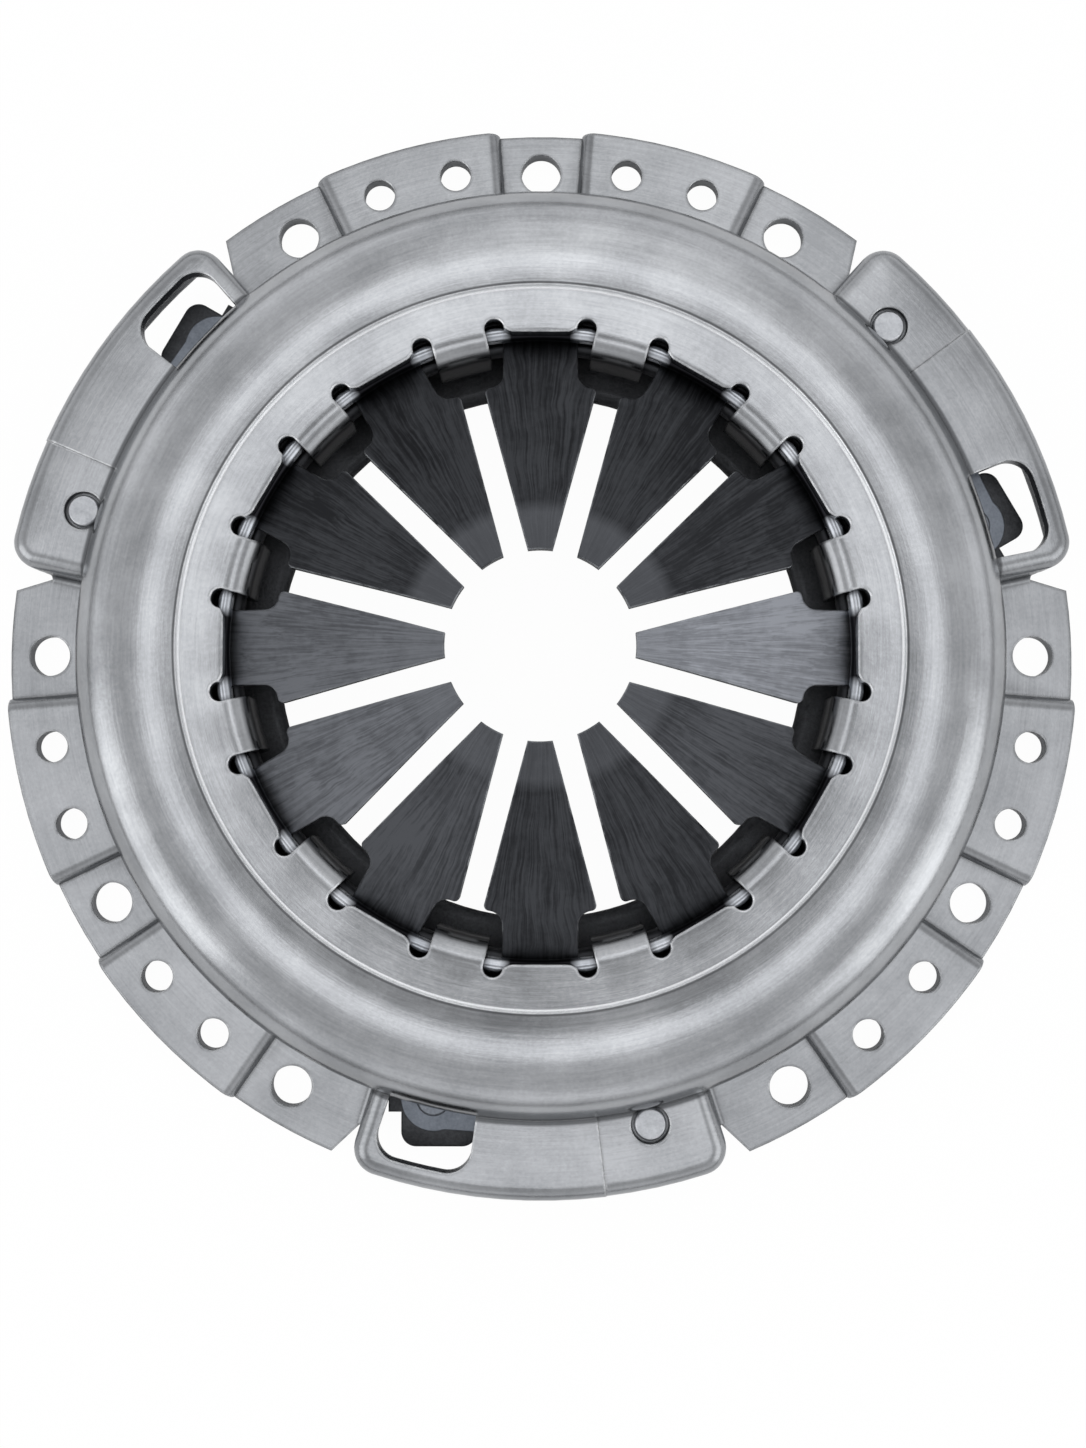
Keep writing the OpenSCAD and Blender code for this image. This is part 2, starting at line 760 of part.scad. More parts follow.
module cover_rivets() {
  sheet_low = pocket_h - rivet_pad_drop - sheet_t;
  color("gainsboro")
    for (a = pocket_angles)
      rotate([0, 0, a])
        translate([strap_x2, strap_y, 0]) {
          translate([0, 0, sheet_low + sheet_t - flush_depth + seat_gap])
            head(flush_d, flush_depth - seat_gap);
          translate([0, 0, strap_z2 - seat_gap - 1])
            cylinder(d = shank_d, h = sheet_low + sheet_t - strap_z2);
          translate([0, 0, strap_z2 - seat_gap])
            mirror([0, 0, 1]) head(head_d, head_h);
        }
}

module plate_rivets() {
  pack_top = strap_z1 + pack_t;
  color("slategray")
    for (a = pocket_angles)
      rotate([0, 0, a])
        translate([strap_x1, -strap_y, 0]) {
          translate([0, 0, pack_top + seat_gap]) head(head_d, head_h);
          translate([0, 0, lug_z + 1]) cylinder(d = shank_d, h = pack_top - lug_z);
          translate([0, 0, lug_z + 0.1])
            cylinder(d = head_d, h = 1.5 - seat_gap);
        }
}

cover();
fulcrum_ring_upper();
fulcrum_ring_lower();
finger(1);  // diaphragm_finger_01
finger(2);  // diaphragm_finger_02
finger(3);  // diaphragm_finger_03
finger(4);  // diaphragm_finger_04
finger(5);  // diaphragm_finger_05
finger(6);  // diaphragm_finger_06
finger(7);  // diaphragm_finger_07
finger(8);  // diaphragm_finger_08
finger(9);  // diaphragm_finger_09
finger(10);  // diaphragm_finger_10
finger(11);  // diaphragm_finger_11
finger(12);  // diaphragm_finger_12
pressure_plate();
leaf(pocket_angles[0], 0);  // strap_a_leaf_1
leaf(pocket_angles[0], 1);  // strap_a_leaf_2
leaf(pocket_angles[0], 2);  // strap_a_leaf_3
leaf(pocket_angles[1], 0);  // strap_b_leaf_1
leaf(pocket_angles[1], 1);  // strap_b_leaf_2
leaf(pocket_angles[1], 2);  // strap_b_leaf_3
leaf(pocket_angles[2], 0);  // strap_c_leaf_1
leaf(pocket_angles[2], 1);  // strap_c_leaf_2
leaf(pocket_angles[2], 2);  // strap_c_leaf_3
cover_rivets();
plate_rivets();
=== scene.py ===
"""Dresses the clutch pressure plate: brushed cover, dark spring fingers, cast ring, straps and rivets."""

import json
import logging
import math
from dataclasses import dataclass, field, replace
from enum import Enum

import bpy
from mathutils import Matrix, Vector

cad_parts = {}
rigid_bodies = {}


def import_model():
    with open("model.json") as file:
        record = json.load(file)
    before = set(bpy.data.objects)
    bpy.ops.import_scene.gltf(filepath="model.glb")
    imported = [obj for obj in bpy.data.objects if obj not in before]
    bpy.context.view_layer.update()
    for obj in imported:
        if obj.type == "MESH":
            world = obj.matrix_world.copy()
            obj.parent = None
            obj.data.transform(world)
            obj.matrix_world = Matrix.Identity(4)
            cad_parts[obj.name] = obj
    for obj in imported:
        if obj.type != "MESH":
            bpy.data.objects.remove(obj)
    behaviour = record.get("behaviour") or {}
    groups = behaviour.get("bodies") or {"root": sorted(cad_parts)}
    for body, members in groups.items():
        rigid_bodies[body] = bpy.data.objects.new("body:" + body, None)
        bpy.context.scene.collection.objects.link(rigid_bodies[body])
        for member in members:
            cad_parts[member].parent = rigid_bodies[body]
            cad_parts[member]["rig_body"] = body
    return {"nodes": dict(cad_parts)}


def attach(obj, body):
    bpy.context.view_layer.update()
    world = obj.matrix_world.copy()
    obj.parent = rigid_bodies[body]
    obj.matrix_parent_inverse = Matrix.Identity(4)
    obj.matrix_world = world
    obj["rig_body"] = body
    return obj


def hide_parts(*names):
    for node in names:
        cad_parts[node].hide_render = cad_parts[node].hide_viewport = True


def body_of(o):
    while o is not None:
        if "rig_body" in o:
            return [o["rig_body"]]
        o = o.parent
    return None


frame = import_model()
LOG = logging.getLogger("clutch_plate")
PHOTO_HEIGHT = 1448
SENSOR_HEIGHT = 36.0
BEVEL_SAMPLES = 6
SHADOW_SAMPLES = 6
WELD_DISTANCE = 0.000002
LOWEST_RADIUS = 0.001
WHITE = (1.0, 1.0, 1.0, 1.0)


class Grain(Enum):
    """Which way the fine lines of a finish run."""

    ROUND = "round the axis"
    OUTWARD = "out from the axis"
    CAST = "no direction"


class Graph:
    """One material's nodes, built with short calls."""

    def __init__(self, name: str) -> None:
        """Makes an empty material with its shader and output.

        Args:
            name: the material's name.
        """
        self.material = bpy.data.materials.new(name)
        self.material.use_nodes = True
        self.tree = self.material.node_tree
        self.tree.nodes.clear()
        self.shader = self.tree.nodes.new("ShaderNodeBsdfPrincipled")
        self.output = self.tree.nodes.new("ShaderNodeOutputMaterial")
        self.tree.links.new(self.shader.outputs["BSDF"], self.output.inputs["Surface"])

    def node(self, kind: str, **settings: object) -> bpy.types.Node:
        """Adds a node with the given settings and returns it."""
        made = self.tree.nodes.new(kind)
        for name, value in settings.items():
            setattr(made, name, value)
        return made

    def feed(self, value: object, socket: bpy.types.NodeSocket) -> None:
        """Links an output to the socket, or writes a plain value into it."""
        if isinstance(value, bpy.types.NodeSocket):
            self.tree.links.new(value, socket)
        else:
            socket.default_value = value

    def math(self, operation: str, a: object, b: object = 0.0, clamp: bool = False) -> bpy.types.NodeSocket:
        """Adds one sum on two numbers and returns its result."""
        made = self.node("ShaderNodeMath", operation=operation, use_clamp=clamp)
        self.feed(a, made.inputs[0])
        self.feed(b, made.inputs[1])
        return made.outputs[0]

    def place(self) -> bpy.types.NodeSocket:
        """Returns the place on the object, in metres."""
        return self.node("ShaderNodeTexCoord").outputs["Object"]

    def split(self, vector: object) -> tuple:
        """Returns the three numbers of a vector."""
        made = self.node("ShaderNodeSeparateXYZ")
        self.feed(vector, made.inputs[0])
        return tuple(made.outputs)

    def join(self, x: object, y: object, z: object) -> bpy.types.NodeSocket:
        """Returns a vector from three numbers."""
        made = self.node("ShaderNodeCombineXYZ")
        for value, socket in zip((x, y, z), made.inputs):
            self.feed(value, socket)
        return made.outputs[0]

    def noise(
        self, vector: object, scale: float, detail: float = 3.0, rough: float = 0.55
    ) -> bpy.types.NodeSocket:
        """Returns a soft random pattern, from 0 to 1."""
        made = self.node("ShaderNodeTexNoise")
        self.feed(vector, made.inputs["Vector"])
        made.inputs["Scale"].default_value = scale
        made.inputs["Detail"].default_value = detail
        made.inputs["Roughness"].default_value = rough
        return made.outputs["Fac"]

    def spread(
        self, value: object, low: float, high: float, to_low: float = 0.0, to_high: float = 1.0
    ) -> bpy.types.NodeSocket:
        """Returns the value spread from one range over another, held at its ends."""
        made = self.node("ShaderNodeMapRange", clamp=True)
        self.feed(value, made.inputs["Value"])
        for name, number in (("From Min", low), ("From Max", high), ("To Min", to_low), ("To Max", to_high)):
            made.inputs[name].default_value = number
        return made.outputs["Result"]

    def band(self, value: object, middle: float, half: float) -> bpy.types.NodeSocket:
        """Returns 1 where the value is at the middle, falling to 0 at half a width beside it."""
        off = self.math("ABSOLUTE", self.math("SUBTRACT", value, middle))
        return self.spread(off, half, half * 0.3)

    def blend(self, share: object, first: object, second: object) -> bpy.types.NodeSocket:
        """Returns a colour between two colours."""
        made = self.node("ShaderNodeMix", data_type="RGBA")
        self.feed(share, made.inputs["Factor"])
        for value, name in ((first, "A"), (second, "B")):
            socket = [s for s in made.inputs if s.name == name and s.type == "RGBA"][0]
            self.feed(value if isinstance(value, bpy.types.NodeSocket) else (*value, 1.0), socket)
        return [s for s in made.outputs if s.type == "RGBA"][0]

    def corner(self, radius: float) -> bpy.types.NodeSocket:
        """Returns the normal with the sharp edges rounded off by the given radius."""
        made = self.node("ShaderNodeBevel", samples=BEVEL_SAMPLES)
        made.inputs["Radius"].default_value = radius
        return made.outputs["Normal"]

    def wear_and_sheen_mask(self, rounded: object, low: float, high: float) -> bpy.types.NodeSocket:
        """Returns 1 along the edges and 0 on the flats, from a rounded normal; it masks both rubbed metal and
        painted highlight on the edges.
        """
        flat = self.node("ShaderNodeNewGeometry").outputs["Normal"]
        made = self.node("ShaderNodeVectorMath", operation="DOT_PRODUCT")
        self.feed(rounded, made.inputs[0])
        self.feed(flat, made.inputs[1])
        return self.spread(made.outputs["Value"], high, low, 0.0, 1.0)

    def bump(self, height: object, distance: float, strength: float, normal: object) -> bpy.types.NodeSocket:
        """Returns a normal that is roughened by a height pattern."""
        made = self.node("ShaderNodeBump")
        made.inputs["Strength"].default_value = strength
        made.inputs["Distance"].default_value = distance
        self.feed(height, made.inputs["Height"])
        self.feed(normal, made.inputs["Normal"])
        return made.outputs["Normal"]


@dataclass(frozen=True)
class Spot:
    """A place on the object: its distance from the axis, the angle round it and the height."""

    place: bpy.types.NodeSocket
    radius: bpy.types.NodeSocket
    cosine: bpy.types.NodeSocket
    sine: bpy.types.NodeSocket
    z: bpy.types.NodeSocket

    @classmethod
    def of(cls, g: Graph) -> "Spot":
        """Works out the place in a material.

        Args:
            g: the material's nodes.

        Returns:
            The place.
        """
        place = g.place()
        x, y, z = g.split(place)
        radius = g.math("SQRT", g.math("ADD", g.math("MULTIPLY", x, x), g.math("MULTIPLY", y, y)))
        safe = g.math("MAXIMUM", radius, LOWEST_RADIUS)
        return cls(place, radius, g.math("DIVIDE", x, safe), g.math("DIVIDE", y, safe), z)

    def ring(self, g: Graph, across: object, turns: float, wave: object = None) -> bpy.types.NodeSocket:
        """Returns a place for a pattern that runs round the axis or out from it.

        Args:
            g: the material's nodes.
            across: the first number, which the pattern changes fastest along.
            turns: how fast the pattern changes round the axis.
            wave: what is added to the second number, to make the lines wavy.

        Returns:
            The place to read the pattern at.
        """
        cosine = g.math("MULTIPLY", self.cosine, turns)
        if wave is not None:
            cosine = g.math("ADD", cosine, wave)
        return g.join(across, cosine, g.math("MULTIPLY", self.sine, turns))


@dataclass(frozen=True)
class MetalFinish:
    """A bare metal finish: two tones, fine lines, cloudy stains, bright edges that are partly rubbed metal
    and partly painted highlight, and creases darkened by painted shade.
    """

    name: str
    light: tuple
    dark: tuple
    edge: tuple
    painted_shade_colour: tuple
    roughness: float
    spread: float
    grain: Grain
    line_depth: float
    line_tone: float
    cloud_scale: float
    speck_scale: float
    edge_radius: float
    edge_share: float
    crease_shade_reach: float
    crease_shade_share: float
    anisotropy: float = 0.0

    def dress(self) -> bpy.types.Material:
        """Builds the material.

        Returns:
            The finished material.
        """
        g = Graph(self.name)
        spot = Spot.of(g)
        lines = self.lines(g, spot)
        cloud = g.noise(spot.place, self.cloud_scale, 5.0, 0.6)
        speck = g.noise(spot.place, self.speck_scale, 4.0, 0.7)
        tone = g.math("ADD", g.math("MULTIPLY", cloud, 0.75), g.math("MULTIPLY", speck, 0.25))
        tone = g.math("ADD", tone, g.math("MULTIPLY", g.math("SUBTRACT", lines, 0.5), self.line_tone))
        colour = g.blend(g.spread(tone, 0.36, 0.64), self.dark, self.light)
        rounded = g.corner(self.edge_radius)
        # Edges, convex and concave, are lightened towards the edge colour: partly rubbed metal, partly a
        # painted highlight along the rounded edges.
        wear_and_sheen = g.wear_and_sheen_mask(rounded, 0.80, 0.985)
        scratched = g.spread(g.noise(spot.place, 320.0, 3.0), 0.32, 0.6)
        share = g.math("MULTIPLY", g.math("MULTIPLY", wear_and_sheen, self.edge_share), scratched)
        colour = g.blend(share, colour, self.edge)
        # Painted shade: creases, corners and recesses are darkened towards the shade colour by ambient
        # occlusion, and made a little rougher.
        crease = g.node("ShaderNodeAmbientOcclusion", samples=SHADOW_SAMPLES, only_local=True)
        crease.inputs["Distance"].default_value = self.crease_shade_reach
        crease_shade = g.math("MULTIPLY", g.spread(crease.outputs["AO"], 0.8, 0.3), self.crease_shade_share)
        colour = g.blend(crease_shade, colour, self.painted_shade_colour)
        colour = self.tint(g, colour, spot)
        rough = g.math("ADD", self.roughness, g.math("MULTIPLY", g.math("SUBTRACT", cloud, 0.5), self.spread))
        rough = g.math("ADD", rough, g.math("MULTIPLY", g.math("SUBTRACT", lines, 0.5), self.spread))
        rough = g.math("ADD", rough, g.math("MULTIPLY", crease_shade, 0.25), clamp=True)
        g.feed(colour, g.shader.inputs["Base Color"])
        g.feed(rough, g.shader.inputs["Roughness"])
        g.shader.inputs["Metallic"].default_value = 1.0
        g.shader.inputs["Anisotropic"].default_value = self.anisotropy
        height = g.math("ADD", lines, g.math("MULTIPLY", speck, 0.6))
        g.feed(g.bump(height, self.line_depth, 0.6, rounded), g.shader.inputs["Normal"])
        return g.material

    def tint(self, g: Graph, colour: bpy.types.NodeSocket, spot: Spot) -> bpy.types.NodeSocket:
        """Changes the colour from place to place; a plain finish leaves it as it is.

        Args:
            g: the material's nodes.
            colour: the colour so far.
            spot: where the colour is wanted.

        Returns:
            The colour to use.
        """
        return colour

    def lines(self, g: Graph, spot: Spot) -> bpy.types.NodeSocket:
        """Returns the pattern of fine lines, from 0 to 1.

        Args:
            g: the material's nodes.
            spot: where the pattern is wanted.

        Returns:
            The pattern.
        """
        if self.grain is Grain.ROUND:
            slope = g.math("ADD", spot.radius, g.math("MULTIPLY", spot.z, 0.8))
            fine = g.noise(spot.ring(g, g.math("MULTIPLY", slope, 1500.0), 5.0), 1.0, 4.0, 0.7)
            broad = g.noise(spot.ring(g, g.math("MULTIPLY", slope, 300.0), 3.0), 1.0, 3.0, 0.6)
            return g.math("ADD", g.math("MULTIPLY", fine, 0.6), g.math("MULTIPLY", broad, 0.4))
        if self.grain is Grain.OUTWARD:
            wave = g.math("MULTIPLY", g.math("SUBTRACT", g.noise(spot.place, 80.0, 2.0), 0.5), 5.0)
            along = g.math("MULTIPLY", spot.radius, 60.0)
            fine = g.noise(spot.ring(g, along, 85.0, wave), 1.0, 2.0, 0.7)
            broad = g.noise(spot.ring(g, along, 20.0), 1.0, 3.0, 0.6)
            return g.math("ADD", g.math("MULTIPLY", fine, 0.75), g.math("MULTIPLY", broad, 0.25))
        return g.noise(spot.place, 1400.0, 5.0, 0.65)


@dataclass(frozen=True)
class CoverFinish(MetalFinish):
    """Stamped steel whose bent tabs fade into painted shade below the lip, with more painted shade and a
    painted highlight on the step, dome and flange.
    """

    shade: tuple = (0.012, 0.012, 0.014)
    tab_radius: float = 0.0745
    fade_top: float = 0.0296
    fade_end: float = 0.0254
    step_radius: float = 0.0802
    flange_shade: float = 0.34
    wall_shade: float = 0.75
    rim_radius: float = 0.1068
    pocket_part: float = 0.6

    def tint(self, g: Graph, colour: bpy.types.NodeSocket, spot: Spot) -> bpy.types.NodeSocket:
        """Paints shade on the tabs from their bend down, on the foot of the step, at the rim radius, on the
        dome's outer wall and on the low flange, and paints a highlight along the top of the step.
        """
        # Painted shade: inside the tab radius, the colour fades towards the shade colour from the bend
        # downwards.
        inside = g.spread(spot.radius, self.tab_radius + 0.001, self.tab_radius - 0.001)
        down = g.spread(spot.z, self.fade_top, self.fade_end, 0.0, 0.97)
        # Painted shade and highlight at the step: a dark band just outside the step radius and a bright band
        # just inside it.
        crest = g.band(spot.radius, self.step_radius - 0.0002, 0.0005)
        line = g.band(spot.radius, self.step_radius + 0.00045, 0.0004)
        # Painted shade: the flange beyond the rim radius is darkened, less on the raised pockets, with darker
        # bands at the rim radius and on the dome's outer wall.
        low = g.spread(spot.z, 0.026, 0.006, self.flange_shade * self.pocket_part, self.flange_shade)
        low = g.math("MULTIPLY", low, g.spread(spot.radius, self.rim_radius - 0.001, self.rim_radius + 0.001))
        fold = g.math("MULTIPLY", g.band(spot.radius, self.rim_radius, 0.0011), 0.8)
        wall = g.math("MULTIPLY", g.spread(spot.z, 0.0275, 0.0175, 0.0, self.wall_shade),
                      g.band(spot.radius, 0.1030, 0.0058))
        # The painted dark band, then the painted bright band, go into the colour.
        colour = g.blend(g.math("MULTIPLY", line, 0.7), colour, self.painted_shade_colour)
        colour = g.blend(g.math("MULTIPLY", crest, 0.8), colour, self.edge)
        # All three painted shades darken towards the shade colour.
        shade = g.math("MAXIMUM", fold, g.math("MAXIMUM", low, wall))
        colour = g.blend(shade, colour, self.painted_shade_colour)
        return g.blend(g.math("MULTIPLY", inside, down), colour, self.shade)


@dataclass(frozen=True)
class WireFinish(MetalFinish):
    """Drawn wire with painted shade everywhere except where the cover's notches bare it."""

    shade: tuple = (0.012, 0.012, 0.014)
    notch_angle: float = 7.0
    notch_half: float = 2.6
    pitch: float = 30.0

    def tint(self, g: Graph, colour: bpy.types.NodeSocket, spot: Spot) -> bpy.types.NodeSocket:
        """Paints shade on the wire away from the notches, which lie on both sides of every tab."""
        angle = g.math("DEGREES", g.math("ARCTAN2", spot.sine, spot.cosine))
        turned = g.math("MODULO", g.math("ADD", angle, 360.0), self.pitch)
        beside = g.math("ABSOLUTE", g.math("SUBTRACT", turned, self.pitch / 2))
        bare = g.band(beside, self.notch_angle, self.notch_half)
        # Painted shade: outside the notches the wire takes the shade colour.
        return g.blend(bare, self.shade, colour)


@dataclass(frozen=True)
class FingerFinish(MetalFinish):
    """Dark spring steel, with painted light where a finger catches the side light and a painted sheen on the
    flat tip.
    """

    tip: tuple = (0.14, 0.147, 0.16)
    tip_radius: float = 0.0318
    tip_share: float = 0.34

    def tint(self, g: Graph, colour: bpy.types.NodeSocket, spot: Spot) -> bpy.types.NodeSocket:
        """Paints a sheen on the flat tip inside the crease."""
        # Painted sheen: the flat tip inside the crease radius is lightened towards the tip colour.
        wear_and_sheen = g.spread(spot.radius, self.tip_radius + 0.0008, self.tip_radius - 0.0022, 0.0, self.tip_share)
        return g.blend(wear_and_sheen, colour, self.tip)


COVER_STEEL = CoverFinish(
    name="cover_steel", light=(0.47, 0.483, 0.498), dark=(0.30, 0.31, 0.322), edge=(0.92, 0.935, 0.95),
    painted_shade_colour=(0.03, 0.032, 0.035), roughness=0.2, spread=0.12, grain=Grain.ROUND, line_depth=0.00004,
    line_tone=0.5, cloud_scale=34.0, speck_scale=1100.0, edge_radius=0.0010, edge_share=0.95,
    crease_shade_reach=0.0045, crease_shade_share=0.95, anisotropy=0.3)
WIRE_STEEL = WireFinish(
    name="wire_steel", light=(0.52, 0.54, 0.57), dark=(0.34, 0.36, 0.39), edge=(0.7, 0.72, 0.75),
    painted_shade_colour=(0.02, 0.02, 0.025), roughness=0.2, spread=0.1, grain=Grain.ROUND, line_depth=0.00002,
    line_tone=0.4, cloud_scale=60.0, speck_scale=700.0, edge_radius=0.0003, edge_share=0.2,
    crease_shade_reach=0.003, crease_shade_share=0.5)
# The lower fulcrum ring is painted near black: painted shade, for it lies in the dark under the cover.
WIRE_IN_PAINTED_SHADE = MetalFinish(
    name="wire_in_painted_shade", light=(0.05, 0.052, 0.056), dark=(0.03, 0.031, 0.034), edge=(0.1, 0.1, 0.11),
    painted_shade_colour=(0.01, 0.01, 0.012), roughness=0.4, spread=0.1, grain=Grain.CAST, line_depth=0.00002,
    line_tone=0.3, cloud_scale=60.0, speck_scale=700.0, edge_radius=0.0003, edge_share=0.1,
    crease_shade_reach=0.003, crease_shade_share=0.5)
SPRING_STEEL = FingerFinish(
    name="spring_steel", light=(0.040, 0.042, 0.046), dark=(0.016, 0.0167, 0.0185), edge=(0.46, 0.48, 0.50),
    painted_shade_colour=(0.008, 0.008, 0.009), roughness=0.36, spread=0.16, grain=Grain.OUTWARD, line_depth=0.00005,
    line_tone=1.1, cloud_scale=40.0, speck_scale=600.0, edge_radius=0.0007, edge_share=0.9,
    crease_shade_reach=0.003, crease_shade_share=0.6)
CAST_IRON = MetalFinish(
    name="cast_iron", light=(0.085, 0.088, 0.094), dark=(0.045, 0.047, 0.05), edge=(0.24, 0.25, 0.27),
    painted_shade_colour=(0.01, 0.01, 0.012), roughness=0.48, spread=0.2, grain=Grain.CAST, line_depth=0.00010,
    line_tone=0.6, cloud_scale=55.0, speck_scale=500.0, edge_radius=0.0007, edge_share=0.35,
    crease_shade_reach=0.004, crease_shade_share=0.6)
STRAP_STEEL = MetalFinish(
    name="strap_steel", light=(0.17, 0.188, 0.215), dark=(0.095, 0.106, 0.123), edge=(0.36, 0.38, 0.42),
    painted_shade_colour=(0.012, 0.013, 0.016), roughness=0.33, spread=0.15, grain=Grain.CAST, line_depth=0.00003,
    line_tone=0.4, cloud_scale=60.0, speck_scale=900.0, edge_radius=0.00025, edge_share=0.6,
    crease_shade_reach=0.002, crease_shade_share=0.5)
COVER_RIVET = MetalFinish(
    name="cover_rivet", light=(0.50, 0.515, 0.535), dark=(0.33, 0.342, 0.36), edge=(0.92, 0.935, 0.95),
    painted_shade_colour=(0.03, 0.032, 0.035), roughness=0.36, spread=0.15, grain=Grain.CAST, line_depth=0.00006,
    line_tone=0.5, cloud_scale=160.0, speck_scale=900.0, edge_radius=0.0006, edge_share=0.95,
    crease_shade_reach=0.002, crease_shade_share=0.6)
PLATE_RIVET = MetalFinish(
    name="plate_rivet", light=(0.22, 0.238, 0.265), dark=(0.12, 0.132, 0.15), edge=(0.45, 0.48, 0.53),
    painted_shade_colour=(0.015, 0.016, 0.02), roughness=0.33, spread=0.15, grain=Grain.CAST, line_depth=0.00005,
    line_tone=0.5, cloud_scale=160.0, speck_scale=900.0, edge_radius=0.0004, edge_share=0.7,
    crease_shade_reach=0.002, crease_shade_share=0.5)


def deselect() -> None:
    """Leaves nothing selected."""
    bpy.ops.object.select_all(action="DESELECT")


def cover_with(piece: bpy.types.Object, finish: bpy.types.Material) -> None:
    """Gives a piece one finish, in a material slot of its own."""
    piece.data.materials.clear()
    piece.data.materials.append(finish)


def clean_copy(node: str, name: str, angle: float = 32.0) -> bpy.types.Object:
    """Copies a CAD node's mesh with its loose triangles joined, and smooths it.

    Args:
        node: the CAD node.
        name: the new piece's name.
        angle: edges sharper than this many degrees stay sharp.

    Returns:
        The new piece, which stands for the node.
    """
    deselect()
    source = frame["nodes"][node]
    piece = bpy.data.objects.new(name, source.data.copy())
    bpy.context.scene.collection.objects.link(piece)
    bpy.context.view_layer.objects.active = piece
    piece.select_set(True)
    bpy.ops.object.mode_set(mode="EDIT")
    bpy.ops.mesh.select_all(action="SELECT")
    bpy.ops.mesh.remove_doubles(threshold=WELD_DISTANCE)
    bpy.ops.object.mode_set(mode="OBJECT")
    if piece.data.has_custom_normals:
        bpy.ops.mesh.customdata_custom_splitnormals_clear()
    bpy.ops.object.shade_smooth_by_angle(angle=math.radians(angle))
    deselect()
    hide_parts(node)
    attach(piece, body_of(source)[0])
    return piece


@dataclass
class CoverShell:
    """The stamped cover with its lip, tabs, pockets and bolt pads."""

    finish: MetalFinish = COVER_STEEL

    def build(self) -> list:
        """Builds the cover and returns its pieces."""
        shell = clean_copy("cover", "cover_shell")
        cover_with(shell, self.finish.dress())
        return [shell]


@dataclass
class Fulcrum:
    """The two wire rings that the spring tilts between."""

    rings: tuple = (("fulcrum_ring_upper", WIRE_STEEL), ("fulcrum_ring_lower", WIRE_IN_PAINTED_SHADE))

    def build(self) -> list:
        """Builds both rings and returns them."""
        pieces = []
        for ring, finish in self.rings:
            piece = clean_copy(ring, ring + "_wire", 60.0)
            cover_with(piece, finish.dress())
            pieces.append(piece)
        return pieces


@dataclass
class DiaphragmSpring:
    """The twelve fingers of the dark spring."""

    finish: FingerFinish = SPRING_STEEL
    fingers: int = 12
    # Painted light: each finger's tones are lifted towards this pale tone by its share, as if the side light
    # caught it.
    pale: tuple = (0.42, 0.44, 0.48)
    painted_light_shares: tuple = (0.66, 0.03, 0.0, 0.0, 0.0, 0.02, 0.26, 0.28, 0.09, 0.02, 0.02, 0.10)

    def build(self) -> list:
        """Builds every finger and returns them; each finger has its own share of painted side light."""
        pieces = []
        for number in range(1, self.fingers + 1):
            node = f"diaphragm_finger_{number:02d}"
            piece = clean_copy(node, f"finger_{number:02d}_blade")
            cover_with(piece, self.lit(number).dress())
            pieces.append(piece)
        return pieces

    def lit(self, number: int) -> FingerFinish:
        """Returns the finish of one finger, whose two tones are lightened by its share of painted side light.

        Args:
            number: the finger's number, from 1.

        Returns:
            That finger's finish.
        """
        share = self.painted_light_shares[number - 1]
        light = tuple(a + (b - a) * share for a, b in zip(self.finish.light, self.pale))
        dark = tuple(a + (b * 0.6 - a) * share for a, b in zip(self.finish.dark, self.pale))
        return replace(self.finish, name=f"{self.finish.name}_{number:02d}", light=light, dark=dark)


@dataclass
class FrictionRing:
    """The cast pressure plate."""

    finish: MetalFinish = CAST_IRON

    def build(self) -> list:
        """Builds the plate and returns it."""
        piece = clean_copy("pressure_plate", "plate_casting")
        cover_with(piece, self.finish.dress())
        return [piece]


@dataclass
class StrapPacks:
    """The three packs of three drive straps."""

    finish: MetalFinish = STRAP_STEEL

    def build(self) -> list:
        """Dresses the CAD leaves, which bend with the plate, and returns them."""
        steel = self.finish.dress()
        pieces = []
        for pack in "abc":
            for leaf in (1, 2, 3):
                piece = frame["nodes"][f"strap_{pack}_leaf_{leaf}"]
                cover_with(piece, steel)
                pieces.append(piece)
        return pieces


@dataclass
class Rivets:
    """The rivets at both ends of the straps."""

    bright: MetalFinish = COVER_RIVET
    dark: MetalFinish = PLATE_RIVET

    def build(self) -> list:
        """Builds both groups of rivets and returns them."""
        cover = clean_copy("cover_rivets", "cover_rivet_heads")
        cover_with(cover, self.bright.dress())
        plate = clean_copy("plate_rivets", "plate_rivet_heads")
        cover_with(plate, self.dark.dress())
        return [cover, plate]


@dataclass
class Camera:
    """The photograph's camera, with its distance, turn and lens."""

    distance: float = 0.31841
    tilt: float = math.radians(2.5476)
    turn: float = math.radians(0.1791)
    roll: float = math.radians(-0.0363)
    focal_pixels: float = 1316.13
    aim: tuple = (0.0005257, -0.016179, 0.0)

    def build(self) -> bpy.types.Object:
        """Adds the camera and makes it the scene's own.

        Returns:
            The camera.
        """
        data = bpy.data.cameras.new("photo_camera")
        camera = bpy.data.objects.new("photo_camera", data)
        bpy.context.scene.collection.objects.link(camera)
        aim = Vector(self.aim)
        place = aim + self.distance * Vector((
            math.sin(self.turn),
            -math.sin(self.tilt) * math.cos(self.turn),
            math.cos(self.tilt) * math.cos(self.turn)))
        ahead = (aim - place).normalized()
        up = Vector((math.sin(self.roll), math.cos(self.roll), 0.0))
        right = ahead.cross(up).normalized()
        above = right.cross(ahead)
        turned = Matrix((right, above, -ahead)).transposed().to_4x4()
        camera.matrix_world = Matrix.Translation(place) @ turned
        data.sensor_fit = "VERTICAL"
        data.sensor_height = SENSOR_HEIGHT
        data.lens = self.focal_pixels * SENSOR_HEIGHT / PHOTO_HEIGHT
        data.clip_start = 0.005
        data.clip_end = 20.0
        data.dof.use_dof = False
        bpy.context.scene.camera = camera
        return camera


